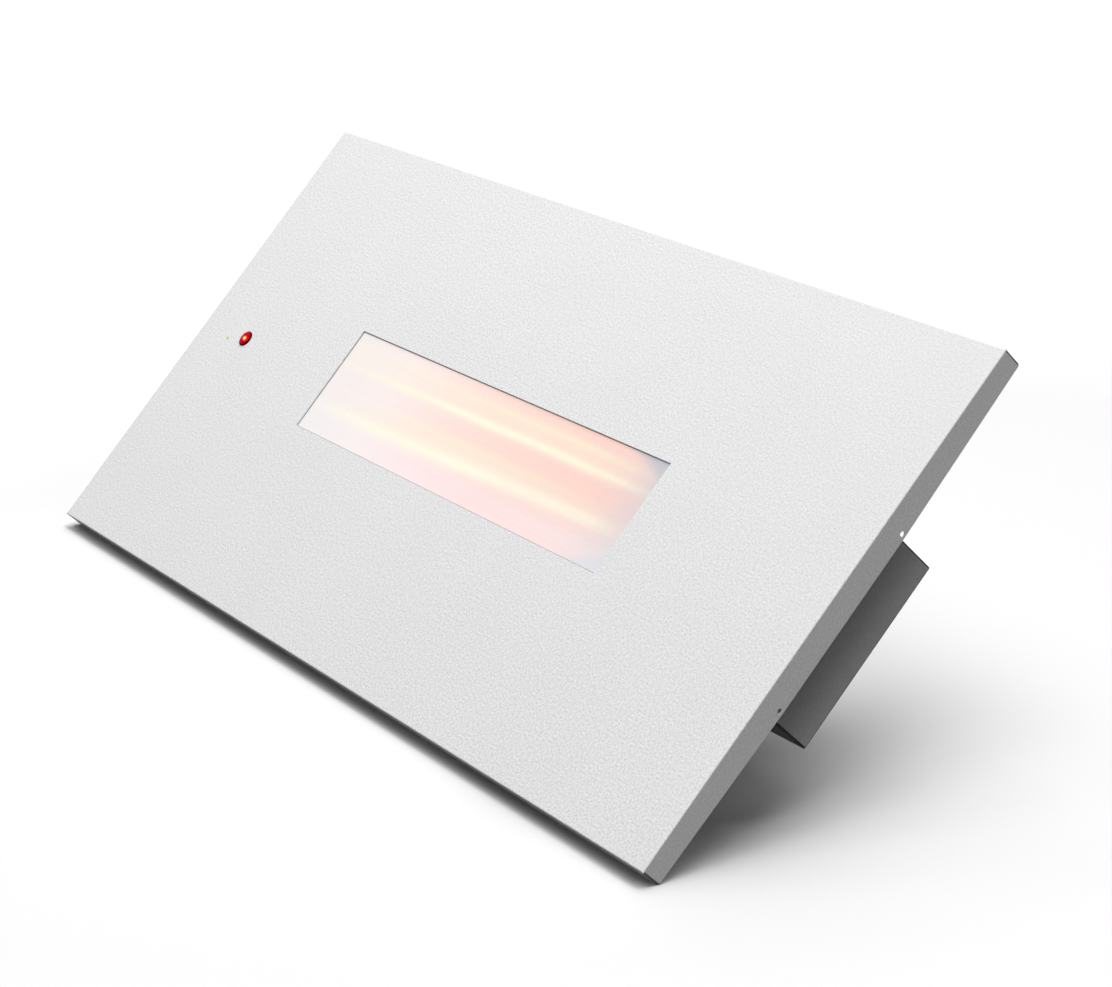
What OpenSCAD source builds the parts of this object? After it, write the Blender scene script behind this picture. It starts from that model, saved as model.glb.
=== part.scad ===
// Recessed infrared heater: a flat steel panel for a 600 x 1200 mm ceiling grid, with a shallow
// box behind it that holds two quartz lamps, their reflector and the remote-control boards.
// Millimetres. X runs along the panel, Z across it, and -Y looks into the room.
// The origin is the middle of the panel's front plane.

/* [Front panel] */
// Length of the panel
panel_l = 1195; // [1180:5:1300]
// Width of the panel
panel_w = 595; // [480:5:700]
// Thickness of the panel's sheet
sheet_t = 1.2; // [0.8:0.1:2]
// Inside radius of the panel's bends
bend_r = 0.3; // [0.3:0.1:1.5]
// Depth of the folded edges at the panel's corners
flange_d = 26; // [20:1:40]
// Extra depth in the middle of the two end edges
end_flange_extra = 5.5; // [3:0.5:12]
// Width of the deeper middle of the end edges
end_flat_w = 200; // [150:5:300]
// Gap between neighbouring folded edges at a corner
corner_gap = 0.4; // [0.2:0.1:1.5]
// Round on the rear corners of the end edges
flange_round = 1; // [1:0.5:6]

/* [Fixing holes in the end edges] */
// Diameter of each hole
end_hole_d = 5.5; // [4:0.5:7]
// Distance between the two holes of one end
end_hole_pitch = 202; // [150:2:260]
// Distance from a hole's centre to the edge behind it
end_hole_edge = 5.2; // [4.2:0.2:9]

/* [Window] */
// Length of the window
window_l = 593; // [560:1:600]
// Height of the window
window_h = 136.4; // [128:0.4:138]
// Thickness of the glass pane
glass_t = 4; // [3:0.5:5]
// Overlap of the pane behind the panel
glass_lap = 9; // [7:0.5:10]
// Thickness of the gasket
gasket_t = 1; // [0.6:0.1:1.6]
// Strip of gasket that shows above and below the glass
gasket_show_long = 1; // [0:0.1:2]
// Strip of gasket that shows at the ends of the glass
gasket_show_end = 0.3; // [0:0.1:2]
// Thickness of the spring-steel glass clips
clip_t = 1; // [0.8:0.1:1.4]
// Width of a glass clip
clip_w = 16; // [12:1:24]

/* [Recess box] */
// Distance from the panel's end to the end of the box
box_end_gap = 33.5; // [30:0.5:45]
// Height of the box
box_h = 213.5; // [210:0.5:224]
// Depth from the panel's front plane to the back of the box
box_d = 117; // [112:1:130]
// Thickness of the box's sheet
box_t = 1; // [0.8:0.1:1.2]
// Inside radius of the box's bends
box_bend_r = 1; // [1:0.1:3]
// Width of the lips that bear on the panel
lip_w = 14; // [13:0.5:16]
// Distance by which the end plates stand past the wrap
end_plate_proud = 1.4; // [1:0.1:2]
// Depth of the end plates' folded edges
end_plate_fold = 13; // [12:0.5:15]
// Distance from the rear access opening to the box's end and to the partition
access_margin = 41.6; // [38:0.2:60]
// Height of the rear access opening
access_h = 60; // [50:1:62]
// Overlap of the access cover round its opening
access_lap = 9; // [8:0.5:10]

/* [Fasteners] */
// Diameter of the studs welded to the panel
stud_d = 4; // [3:0.5:5]
// Length of those studs
stud_l = 8; // [7.5:0.25:8.5]
// Radial clearance of a hole round a stud or screw
hole_clear = 0.2; // [0.1:0.05:0.4]
// Radial clearance between a thread and its nut
thread_clear = 0.05; // [0.02:0.01:0.1]
// Diameter of the small machine screws
screw_d = 3; // [2.5:0.5:3.5]
// Diameter of the blind rivets
rivet_d = 3.2; // [2.4:0.4:4]
// Number of studs along one long lip of the box
lip_stud_count = 6; // [3:1:9]

/* [Reflector and shield] */
// Gap from the glass to the reflector's rim
reflector_gap = 5; // [4.5:0.25:6]
// Thickness of the reflector sheet
reflector_t = 0.8; // [0.6:0.1:1]
// Depth of one trough
trough_d = 40; // [34:1:42]
// Length of the reflector past the window at each end
reflector_over = 21; // [18:1:24]
// Flat ridge between the two troughs
trough_ridge = 2; // [1.8:0.1:4]
// Depth left for the return wire between the heat shield and the insulation
wire_space = 27.2; // [24:0.2:30]
// Thickness of the heat shield
shield_t = 0.8; // [0.6:0.1:1]
// Distance from the box's wall to the heat shield's side
shield_inset = 8; // [6:0.5:9]
// Thickness of the insulation
insulation_t = 20; // [16:1:22]

/* [Lamps] */
// Outside diameter of a lamp's quartz tube
lamp_d = 10; // [9:0.5:12]
// Wall of the quartz tube
lamp_wall = 1; // [0.8:0.1:1.5]
// Distance from a lamp's axis to the bottom of its trough
lamp_above = 12; // [10:0.5:14]
// Width of the glowing ribbon
ribbon_w = 5; // [3:0.5:6]
// Thickness of the glowing ribbon
ribbon_t = 0.6; // [0.4:0.1:1]
// Length of a lamp's ceramic cap
cap_l = 20; // [18:1:24]
// Diameter of a lamp's ceramic cap
cap_d = 14; // [13:0.5:15]
// Gap between a cap and the reflector's end plate
cap_gap = 3.7; // [2:0.1:6]

/* [Lamp holders and contacts] */
// Size of a ceramic holder across its screws
holder_w = 32; // [30:1:34]
// Height of a ceramic holder
holder_h = 24; // [20:1:28]
// Depth of the holder's seat round the cap
cap_seat = 2; // [1:0.25:2.5]
// Clearance between a cap and its seat
cap_clear = 0.3; // [0.2:0.05:0.5]
// Wall of the holder that guides the contact pin
web_t = 5; // [4:0.5:7]
// Thickness of the holder's rear lid
lid_t = 3; // [2.5:0.5:4]
// Diameter of the contact pin's shank
pin_d = 5; // [4.5:0.25:6]
// Radial clearance of the pin in its guide
pin_clear = 0.06; // [0.03:0.01:0.1]
// Diameter of the pin's nose, which touches the lamp
nose_d = 4; // [3:0.25:4.25]
// Diameter of the collar on the pin
collar_d = 9; // [8:0.25:9.5]
// Thickness of that collar
collar_t = 2.5; // [2:0.25:3.5]
// Distance by which the lamp holds the collar off the guide
pin_pressed = 1; // [0.5:0.1:1.5]
// Travel of a contact pin from rest to the boss that stops it
pin_travel = 3.5; // [3:0.1:4]
// Depth of the recess in the cap, down to its contact
cap_recess = 3; // [2:0.25:3.25]
// Length of a contact spring as fitted
spring_l = 16; // [14:0.5:20]
// Outside diameter of a contact spring
spring_d = 8; // [7.4:0.2:8.8]
// Wire diameter of a contact spring
spring_wire = 0.8; // [0.6:0.05:1]
// Curls of a contact spring
spring_curls = 6; // [4:1:7]

/* [Receiver lens and status light] */
// Distance from the box's left end to the lens
lens_from_end = 66.4; // [58:0.1:76]
// Diameter of the lens
lens_d = 20.5; // [18:0.5:24]
// Height of the lens in front of the panel
lens_rise = 4.4; // [3:0.1:6]
// Straight rim of the lens
lens_rim = 0.8; // [0.4:0.1:1.2]
// Diameter of the lens's threaded shank
lens_shank_d = 15; // [14:0.5:16]
// Distance from the lens to the status light
led_from_lens = 35.5; // [30:0.1:38]
// Drop of the status light below the lens
led_drop = 8.9; // [4:0.1:10]
// Diameter of the status light
led_d = 4; // [2:0.5:4]
// Height of the status light in front of the panel
led_rise = 1.2; // [0.5:0.1:2]

/* [Circuit boards] */
// Thickness of the circuit boards
pcb_t = 1.6; // [1:0.2:2]
// Gap between the control board and the box's left end
board_end_gap = 18.2; // [16:0.2:40]
// Gap between the control board and the terminal block
board_block_gap = 39.5; // [36:0.5:50]
// Gap between the control board and the partition
board_gap = 25; // [22:1:28]
// Height of the control board off the box's back
board_standoff = 12; // [9:1:14]
// Distance from the panel's front plane to the receiver board
receiver_y = 14; // [13:0.5:17]
// Pitch of the wires along a terminal strip
wire_pitch = 10; // [8:0.5:10]

/* [Wiring] */
// Outside diameter of the silicone leads
lead_d = 3.2; // [2.4:0.2:3.6]
// Bend radius of the leads
lead_bend = 5; // [4:0.5:6]
// Diameter of the holes in the partitions for the lamp leads
lead_hole_d = 8; // [6:0.5:10]
// Bore of the cable gland, for the supply cable
gland_bore_d = 11; // [8:0.5:12]
// Thread diameter of the cable gland
gland_thread_d = 20; // [18:0.5:21]
// Outside diameter of the cable gland
gland_d = 27; // [26:0.5:28]

/* [Hidden] */
$fn = 48;
// How far a cut runs past the face that it opens
past = 1;

// Front panel
end_flange_d = flange_d + end_flange_extra;
outer_bend = bend_r + sheet_t;
relief = sheet_t + corner_gap;
end_hole_y = end_flange_d - end_hole_edge;

// Window, gasket, pane and clips, from the front to the back
glass_y = sheet_t + gasket_t;
glass_back = glass_y + glass_t;
pane_l = window_l + 2*glass_lap;
pane_h = window_h + 2*glass_lap;
clip_grip = 6;
clip_clear = 1;
clip_stud = stud_d/2 + 5;
clip_foot = clip_stud + stud_d/2 + 3.5;

// Recess box
box_l = panel_l - 2*box_end_gap;
wrap_l = box_l - 2*end_plate_proud;
inner_h = box_h - 2*box_t;
rear_in = box_d - box_t;
lip_back = sheet_t + box_t;
lip_mid = lip_w/2;
stud_edge = 94;
nut_h = 3.2;
nut_af = 1.75*stud_d;
washer_d = nut_af + 2;
washer_t = 0.8;
nut_depth = washer_t + nut_h;

// Reflector and heat shield
reflector_y = glass_back + reflector_gap;
reflector_back = reflector_y + reflector_t;
trough_y = reflector_y + trough_d;
lamp_z = window_h/4;
trough_a = lamp_z - trough_ridge/2;
reflector_half = window_l/2 + reflector_over;
shield_half_h = inner_h/2 - shield_inset;
shield_back = rear_in - insulation_t - wire_space;
shield_y = shield_back - shield_t;
shield_lip = 9;
fold = 12;
fold_rivet = fold/2;
tab_w = 30;
end_lamp_clear = 2.5;
rear_rivets = [-inner_h/3, 0, inner_h/3];

// Lamps and holders, from the middle of the panel outwards
lamp_y = trough_y - lamp_above;
cap_x0 = reflector_half + reflector_t + cap_gap;
cap_x1 = cap_x0 + cap_l;
holder_x0 = cap_x1 - cap_seat;
web_x0 = cap_x1 + cap_clear;
web_x1 = web_x0 + web_t;
collar_x0 = web_x1 + pin_pressed;
collar_x1 = collar_x0 + collar_t;
lid_x0 = collar_x1 + spring_l;
bulkhead_x = lid_x0 + lid_t;
bulkhead_out = bulkhead_x + box_t;
left_x = -bulkhead_out;
contact_t = 1;
contact_gap = 0.05;
recess_d = nose_d + 2.4;
chamber_d = collar_d + 0.6;
boss_d = spring_d - 2*spring_wire - 0.6;
boss_l = spring_l - pin_travel - 0.05;
pinch_l = 10;
pinch_w = 7;
pinch_t = 3;
pinch_clear = 0.2;
holder_screw_y = holder_w/2 - screw_d/2 - 2.5;

// Supply: terminal block, its bracket and the cable gland
supply_first = 4;
block_y0 = 60;
block_d = 18;
block_z0 = inner_h/2 - 55;
block_h = 30;
block_wire_y = block_y0 + block_d/2;
earth_z = block_z0 - 12;
earth_x = -box_l/2 + box_t;
bracket_t = 1.5;
bracket_foot = 20;
gland_y = 80;
gland_z = inner_h/2 - 36;
gland_collar = 6;
gland_cap = 16;
gland_inside = 11;
access_x = (left_x - box_l/2)/2;
access_l = box_l/2 - bulkhead_out - 2*access_margin;
access_z = inner_h/2 - access_h/2 - 13;
cover_t = 1;
cover_l = access_l + 2*access_lap;
cover_h = access_h + 2*access_lap;

// Left compartment
board_x1 = left_x - board_gap;
board_x0 = -box_l/2 + board_end_gap;
board_z0 = -inner_h/2 + 12;
board_z1 = block_z0 - board_block_gap;
board_back = rear_in - board_standoff;
board_y = board_back - pcb_t;
strip_h = 12;
strip_y = board_y - strip_h;
strip_z0 = board_z1 - 15;
strip_z1 = strip_z0 + 10;
strip_wires = 6;
wire_y = board_y - strip_h/2;
first_wire = board_x1 - 30;
lens_x = -box_l/2 + lens_from_end;
led_x = lens_x - led_from_lens;
receiver_l = led_from_lens + 34;
receiver_x = (lens_x + led_x)/2 + 2.5;
receiver_h = 34;
receiver_back = receiver_y + pcb_t;
lens_nut_t = 4;
lens_bore_d = lens_shank_d - 4;
sensor_w = 6;
signal_d = 4;
signal_z = -10;
signal_x = receiver_x + 12;
socket_w = 12;
socket_l = 8;
socket_h = 5;
module_top = signal_z - socket_l/2 - 5.25;
screw_bite = 6;
led_foot = 1.6;
board_corners = [for (x = [board_x0 + 6, board_x1 - 6])
    for (z = [board_z0 + 6, board_z1 - 6]) [x, z]];
receiver_corners = [for (s = [-1, 1]) for (z = [-1, 1])
    [receiver_x + s*(receiver_l/2 - 5), z*(receiver_h/2 - 4)]];

// Wires that pass the shield
return_y = shield_back + 7.2;
link_w = 24;
link_z = 20;
link_d = 18;
link_x = bulkhead_out + 34;
link_y = rear_in - link_d;
link_screw = 3.5;
cutout_z = -62;
cutout_d = 16;
cutout_l = 12;
cutout_foot_t = 1;
cutout_screw = cutout_d/2 + 4;
tag_l = 7;
tag_y = 3;
tag_x = left_x - cutout_l - tag_l;
grommet_hole = lead_d + 6.8;
grommet_lip = 1.5;

// How far above the terminal strip each wire turns down to it
lamp_rise = 12;
supply_rise = 20;
return_rise = 34;

// Contact spring, and the least gap between neighbouring turns of its wire
spring_r = (spring_d - spring_wire)/2;
spring_pitch = (spring_l - spring_wire - 0.1)/spring_curls;
spring_gap = min([for (k = [5 : 8*spring_curls])
    norm(coil_point(k/8) - coil_point(0))]) - spring_wire;
echo(least_gap_of_a_spring_to_itself = spring_gap);

function wire_x(i) = first_wire - i*wire_pitch;
function coil_point(turns) = [
    spring_r*cos(360*turns),
    spring_r*sin(360*turns),
    spring_wire/2 + 0.05 + turns*spring_pitch
];
function turn(dir) = dir.x > 0 ? [0, 90, 0] : dir.x < 0 ? [0, -90, 0]
    : dir.y > 0 ? [-90, 0, 0] : dir.y < 0 ? [90, 0, 0] : dir.z < 0 ? [180, 0, 0] : [0, 0, 0];
function unit(v) = v/norm(v);
function trough_curve(z) = trough_y - trough_d*pow(z/trough_a, 2);
function trough_normal(z) = unit([2*trough_d*z/pow(trough_a, 2), 1]);

// Helpers

// A box from its low corner to its high corner
module block(low, high) {
    translate(low) cube(high - low);
}

// Puts what is built along +Z at a point, pointing along an axis
module aim(point, dir) {
    translate(point) rotate(turn(dir)) children();
}

module rod(point, dir, d, l) {
    aim(point, dir) cylinder(d = d, h = l);
}

// Extrudes along X; the sketch's x is -Z and its y is Y
module extrude_x(l) {
    rotate([0, 90, 0]) linear_extrude(height = l, center = true) children();
}

module extrude_z(l) {
    linear_extrude(height = l, center = true) children();
}

// Extrudes from y0 to y1; the sketch's x is X and its y is Z
module extrude_y(y0, y1) {
    translate([0, y1, 0]) rotate([90, 0, 0]) linear_extrude(height = y1 - y0) children();
}

// What a round of radius r takes off the corner at a point, whose material lies towards -side
module corner_cut(point, side, r) {
    translate(point) difference() {
        translate([side.x > 0 ? -r : -past, side.y > 0 ? -r : -past])
            square([r + past, r + past]);
        translate([-side.x*r, -side.y*r]) circle(r);
    }
}

// Sketch of a tray's section: w wide, from y = 0 to d, with round corners at y = 0
module tray_sketch(w, d, r) {
    difference() {
        translate([-w/2, 0]) square([w, d]);
        for (s = [-1, 1])
            corner_cut([s*w/2, 0], [s, -1], r);
    }
}

module tray_block(l, w, d, r) {
    intersection() {
        extrude_x(l) tray_sketch(w, d, r);
        extrude_z(w) tray_sketch(l, d, r);
    }
}

module hex_prism(af, h) {
    cylinder(d = af/cos(30), h = h, $fn = 6);
}

// Flanged nut: washer face at the origin, along +Z
module flange_nut() {
    difference() {
        union() {
            cylinder(d = washer_d, h = washer_t);
            translate([0, 0, washer_t]) hex_prism(nut_af, nut_h);
        }
        translate([0, 0, -past]) cylinder(d = stud_d + 2*thread_clear, h = nut_depth + 2*past);
    }
}

// Blind rivet along +Z: domed head before the origin, shank through the grip, tail behind it
module rivet(grip) {
    head_d = 2*rivet_d;
    head_h = 0.34*rivet_d;
    dome_r = (pow(head_d/2, 2) + pow(head_h, 2))/(2*head_h);
    intersection() {
        translate([0, 0, dome_r - head_h]) sphere(dome_r);
        translate([0, 0, -head_h]) cylinder(d = head_d, h = head_h);
    }
    cylinder(d = rivet_d, h = grip);
    translate([0, 0, grip]) cylinder(d = 1.45*rivet_d, h = rivet_d/2);
}

module rivet_hole(grip) {
    translate([0, 0, -past]) cylinder(d = rivet_d + 2*thread_clear, h = grip + 2*past);
}

// Pan-head screw along +Z: head before the origin, cross recess in the head
module pan_screw(d, l) {
    head_h = 0.65*d;
    difference() {
        union() {
            translate([0, 0, -head_h]) cylinder(d = 1.85*d, h = head_h);
            cylinder(d = d, h = l);
        }
        for (a = [0, 90])
            rotate([0, 0, a]) translate([-0.55*d, -0.1*d, -head_h - past])
                cube([1.1*d, 0.2*d, past + 0.4*head_h]);
    }
}

// A lead through a list of points; every bend is a right angle of radius lead_bend
module lead(points, d = lead_d) {
    last = len(points) - 1;
    for (i = [0 : last - 1]) {
        along = unit(points[i + 1] - points[i]);
        from = points[i] + (i == 0 ? 0 : lead_bend)*along;
        to = points[i + 1] - (i == last - 1 ? 0 : lead_bend)*along;
        rod(from, along, d, norm(to - from));
    }
    for (i = [1 : 1 : last - 1]) {
        a = unit(points[i] - points[i - 1]);
        b = unit(points[i + 1] - points[i]);
        c = points[i] - lead_bend*a + lead_bend*b;
        w = cross(-b, a);
        multmatrix([
            [-b.x, a.x, w.x, c.x],
            [-b.y, a.y, w.y, c.y],
            [-b.z, a.z, w.z, c.z],
            [0, 0, 0, 1]
        ]) rotate_extrude(angle = 90) translate([lead_bend, 0]) circle(d = d);
    }
}

// Repeats for both ends and both lamps: place(end, row) with end and row -1 or 1
module at_lamp_ends() {
    for (end = [-1, 1])
        for (row = [-1, 1])
            at_lamp_end(end, row) children();
}

// Puts what is built along +Z, from the panel's middle outwards, on one end of one lamp
module at_lamp_end(end, row) {
    aim([0, lamp_y, row*lamp_z], [end, 0, 0]) children();
}

// Stud places: along the box's lips, at the box's ends and round the window
function spaced(n, span) = [for (i = [0 : n - 1]) (i/(n - 1) - 0.5)*span];
lip_stud_places = concat(
    [for (x = spaced(lip_stud_count, 2*(wrap_l/2 - stud_edge)))
        for (s = [-1, 1]) [x, s*(box_h/2 + lip_mid)]],
    [for (z = spaced(2, box_h - stud_edge))
        for (s = [-1, 1]) [s*(box_l/2 + lip_mid), z]]
);
// Glass clips: place and the turn that points the clip's foot away from the pane
clip_places = concat(
    [for (x = spaced(3, 0.74*window_l))
        for (s = [-1, 1]) [x, s*pane_h/2, s > 0 ? 0 : 180]],
    [for (s = [-1, 1]) [s*pane_l/2, 0, s > 0 ? 90 : -90]]
);

// Puts a clip's own frame (x across it, z away from the pane) at its place
module at_clip(place) {
    translate([place.x, 0, place.y]) rotate([0, place.z, 0]) children();
}

// Front

module front_panel() color([0.93, 0.93, 0.93]) difference() {
    tray_block(panel_l, panel_w, end_flange_d, outer_bend);
    translate([0, sheet_t, 0])
        tray_block(panel_l - 2*sheet_t, panel_w - 2*sheet_t, end_flange_d, bend_r);
    // The long edges are less deep than the end ones
    block([-panel_l/2 + sheet_t, flange_d, -panel_w/2 - past],
        [panel_l/2 - sheet_t, end_flange_d + past, panel_w/2 + past]);
    // The end edges grow shallower towards the corners
    extrude_x(panel_l + 2*past)
        for (s = [-1, 1])
            polygon([
                [s*end_flat_w/2, end_flange_d],
                [s*(panel_w/2 - relief), flange_d],
                [s*(panel_w/2 + past), flange_d],
                [s*(panel_w/2 + past), end_flange_d + past],
                [s*end_flat_w/2, end_flange_d + past]
            ]);
    for (sx = [-1, 1]) {
        // Open corners between neighbouring edges
        for (sz = [-1, 1])
            translate([sx*(panel_l/2 - relief/2 + past/2), outer_bend + end_flange_d/2,
                sz*(panel_w/2 - relief/2 + past/2)])
                cube([relief + past, end_flange_d, relief + past], center = true);
        // Round rear corners of the end edges
        translate([sx*(panel_l/2 - sheet_t/2), 0, 0])
            extrude_x(sheet_t + 0.1)
                for (s = [-1, 1])
                    difference() {
                        translate([s*(panel_w/2 - relief) - (s > 0 ? flange_round : 0),
                            flange_d - flange_round]) square(flange_round);
                        translate([s*(panel_w/2 - relief - flange_round),
                            flange_d - flange_round]) circle(flange_round);
                    }
        for (s = [-1, 1])
            rod([sx*(panel_l/2 + past), end_hole_y, s*end_hole_pitch/2], [-sx, 0, 0],
                end_hole_d, sheet_t + 2*past);
    }
    block([-window_l/2, -past, -window_h/2], [window_l/2, sheet_t + past, window_h/2]);
    rod([lens_x, -past, 0], [0, 1, 0], lens_shank_d + 2*hole_clear, sheet_t + 2*past);
    rod([led_x, -past, -led_drop], [0, 1, 0], led_d + hole_clear, sheet_t + 2*past);
}

module panel_studs() color([0.8, 0.8, 0.78]) {
    for (p = lip_stud_places)
        rod([p.x, sheet_t, p.y], [0, 1, 0], stud_d, stud_l);
    for (p = clip_places)
        at_clip(p) rod([0, sheet_t, clip_clear + clip_stud], [0, 1, 0], stud_d, stud_l);
}

module panel_nuts() color([0.72, 0.72, 0.7]) {
    for (p = lip_stud_places)
        aim([p.x, lip_back, p.y], [0, 1, 0]) flange_nut();
    for (p = clip_places)
        at_clip(p) aim([0, sheet_t + clip_t, clip_clear + clip_stud], [0, 1, 0]) flange_nut();
}

module window_gasket() color([0.16, 0.16, 0.17]) difference() {
    block([-pane_l/2, sheet_t, -pane_h/2], [pane_l/2, glass_y, pane_h/2]);
    block([-window_l/2 + gasket_show_end, 0, -window_h/2 + gasket_show_long],
        [window_l/2 - gasket_show_end, glass_y + past, window_h/2 - gasket_show_long]);
}

module window_glass() color([1, 0.86, 0.78, 0.6])
    block([-pane_l/2, glass_y, -pane_h/2], [pane_l/2, glass_back, pane_h/2]);

// Z-shaped clips: foot on the panel, riser beside the pane, tongue behind it
module glass_clips() color([0.75, 0.75, 0.73])
    for (p = clip_places)
        at_clip(p) difference() {
            union() {
                block([-clip_w/2, sheet_t, clip_clear],
                    [clip_w/2, sheet_t + clip_t, clip_clear + clip_foot]);
                block([-clip_w/2, sheet_t, clip_clear],
                    [clip_w/2, glass_back + clip_t, clip_clear + clip_t]);
                block([-clip_w/2, glass_back, -clip_grip],
                    [clip_w/2, glass_back + clip_t, clip_clear + clip_t]);
            }
            rod([0, 0, clip_clear + clip_stud], [0, 1, 0], stud_d + 2*hole_clear,
                sheet_t + clip_t + past);
        }

// Recess box

module stud_holes() {
    for (p = lip_stud_places)
        rod([p.x, sheet_t - past, p.y], [0, 1, 0], stud_d + 2*hole_clear, box_t + 2*past);
}

module wrap_sketch(h, y0, y1, r) {
    difference() {
        translate([-h/2, y0]) square([h, y1 - y0]);
        for (s = [-1, 1])
            corner_cut([s*h/2, y1], [s, 1], r);
    }
}

module end_rivet_places() {
    for (end = [-1, 1])
        for (z = rear_rivets)
            aim([end*(wrap_l/2 - fold_rivet), box_d, z], [0, -1, 0]) children();
}

module bulkhead_rivet_places() {
    for (end = [-1, 1])
        for (z = rear_rivets)
            aim([end*(bulkhead_out + fold_rivet), box_d, z], [0, -1, 0]) children();
}

module tab_rivet_places() {
    for (end = [-1, 1])
        for (z = [-tab_w, tab_w])
            aim([end*bulkhead_out, shield_back + fold_rivet, z], [-end, 0, 0]) children();
}

module reflector_rivet_places() {
    for (x = spaced(3, 0.8*window_l))
        for (s = [-1, 1])
            aim([x, reflector_y, s*(shield_half_h - shield_lip/2)], [0, 1, 0]) children();
}

module reflector_end_rivet_places() {
    for (end = [-1, 1])
        for (s = [-1, 1])
            aim([end*(reflector_half + fold_rivet), shield_y - reflector_t, s*lamp_z],
                [0, 1, 0]) children();
}

module cover_screw_places() {
    for (sx = [-1, 1])
        for (sz = [-1, 1])
            aim([access_x + sx*(cover_l - access_lap)/2, box_d + cover_t,
                access_z + sz*(cover_h - access_lap)/2], [0, -1, 0]) children();
}

module housing_body() color([0.36, 0.36, 0.37]) difference() {
    extrude_x(wrap_l) {
        difference() {
            wrap_sketch(box_h, sheet_t, box_d, box_bend_r + box_t);
            translate([0, -past]) wrap_sketch(inner_h, sheet_t, rear_in + past, box_bend_r);
        }
        for (s = [-1, 1])
            translate([s*(box_h/2 + lip_w/2 - box_t/2), sheet_t + box_t/2])
                square([lip_w + box_t, box_t], center = true);
    }
    stud_holes();
    end_rivet_places() rivet_hole(2*box_t);
    bulkhead_rivet_places() rivet_hole(2*box_t);
    cover_screw_places() translate([0, 0, -past]) cylinder(d = screw_d + hole_clear, h = 9);
    block([access_x - access_l/2, rear_in - past, access_z - access_h/2],
        [access_x + access_l/2, box_d + past, access_z + access_h/2]);
}

// End plate for the right end; the left one is its mirror image
module end_plate() {
    h = inner_h;
    difference() {
        union() {
            intersection() {
                translate([box_l/2 - end_plate_fold/2, 0, 0])
                    extrude_x(end_plate_fold) wrap_sketch(h, sheet_t, rear_in, box_bend_r);
                extrude_z(h) difference() {
                    translate([0, sheet_t]) square([box_l/2, rear_in - sheet_t]);
                    corner_cut([box_l/2, rear_in], [1, 1], box_bend_r + box_t);
                }
                extrude_y(sheet_t, rear_in) difference() {
                    translate([0, -h/2]) square([box_l/2, h]);
                    for (s = [-1, 1])
                        corner_cut([box_l/2, s*h/2], [1, s], box_bend_r + box_t);
                }
            }
            block([box_l/2 - box_t, sheet_t, -h/2], [box_l/2 + lip_w, lip_back, h/2]);
        }
        intersection() {
            translate([box_l/2 - box_t - end_plate_fold/2, 0, 0])
                extrude_x(end_plate_fold)
                    translate([0, -past]) wrap_sketch(h - 2*box_t, sheet_t, rear_in - box_t + past,
                        box_bend_r);
            extrude_z(h) difference() {
                square([box_l/2 - box_t, rear_in - box_t]);
                corner_cut([box_l/2 - box_t, rear_in - box_t], [1, 1], box_bend_r);
            }
            extrude_y(0, rear_in) difference() {
                translate([0, -h/2]) square([box_l/2 - box_t, h]);
                for (s = [-1, 1])
                    corner_cut([box_l/2 - box_t, s*(h/2 - box_t)], [1, s], box_bend_r);
            }
        }
        stud_holes();
        end_rivet_places() rivet_hole(2*box_t);
    }
}

module housing_end_left() color([0.36, 0.36, 0.37]) difference() {
    mirror([1, 0, 0]) end_plate();
    rod([-box_l/2 - past, gland_y, gland_z], [1, 0, 0], gland_thread_d + 2*hole_clear,
        box_t + 2*past);
}

module housing_end_right() color([0.36, 0.36, 0.37]) end_plate();

module blind_rivets() color([0.7, 0.7, 0.7]) {
    end_rivet_places() rivet(2*box_t);
    bulkhead_rivet_places() rivet(2*box_t);
    tab_rivet_places() rivet(box_t + shield_t);
    reflector_rivet_places() rivet(reflector_t + shield_t);
    reflector_end_rivet_places() rivet(reflector_t + shield_t);
}

module access_cover() color([0.4, 0.4, 0.41]) difference() {
    extrude_y(box_d, box_d + cover_t) difference() {
        translate([access_x - cover_l/2, access_z - cover_h/2]) square([cover_l, cover_h]);
        for (sx = [-1, 1])
            for (sz = [-1, 1])
                corner_cut([access_x + sx*cover_l/2, access_z + sz*cover_h/2], [sx, sz], 3);
    }
    cover_screw_places() translate([0, 0, -past])
        cylinder(d = screw_d + 2*hole_clear, h = cover_t + 2*past);
}

module cover_screws() color([0.75, 0.75, 0.73])
    cover_screw_places() pan_screw(screw_d, 7);

// Partition at the right end of the hot chamber; the left one is its mirror image
module partition() {
    difference() {
        union() {
            block([bulkhead_x, sheet_t + 2, -inner_h/2], [bulkhead_out, rear_in, inner_h/2]);
            block([bulkhead_x, rear_in - box_t, -inner_h/2 + 6],
                [bulkhead_out + fold, rear_in, inner_h/2 - 6]);
        }
        // Round rear corners clear the wrap's bends
        extrude_x(2*panel_l)
            for (s = [-1, 1])
                corner_cut([s*inner_h/2, rear_in], [s, 1], box_bend_r);
        bulkhead_rivet_places() rivet_hole(2*box_t);
        tab_rivet_places() rivet_hole(box_t + shield_t);
        for (row = [-1, 1]) {
            rod([bulkhead_x - past, lamp_y, row*lamp_z], [1, 0, 0], lead_hole_d,
                box_t + 2*past);
            for (s = [-1, 1])
                rod([bulkhead_x - past, lamp_y + s*holder_screw_y, row*lamp_z], [1, 0, 0],
                    screw_d + 2*thread_clear, box_t + 2*past);
        }
        rod([bulkhead_x - past, return_y, 0], [1, 0, 0], grommet_hole, box_t + 2*past);
    }
}

module bulkhead_left() color([0.62, 0.63, 0.64]) difference() {
    mirror([1, 0, 0]) partition();
    for (s = [-1, 1])
        rod([left_x - past, return_y + tag_y, cutout_z + s*cutout_screw], [1, 0, 0],
            screw_d + 2*thread_clear, box_t + 2*past);
}

module bulkhead_right() color([0.62, 0.63, 0.64]) partition();

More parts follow.
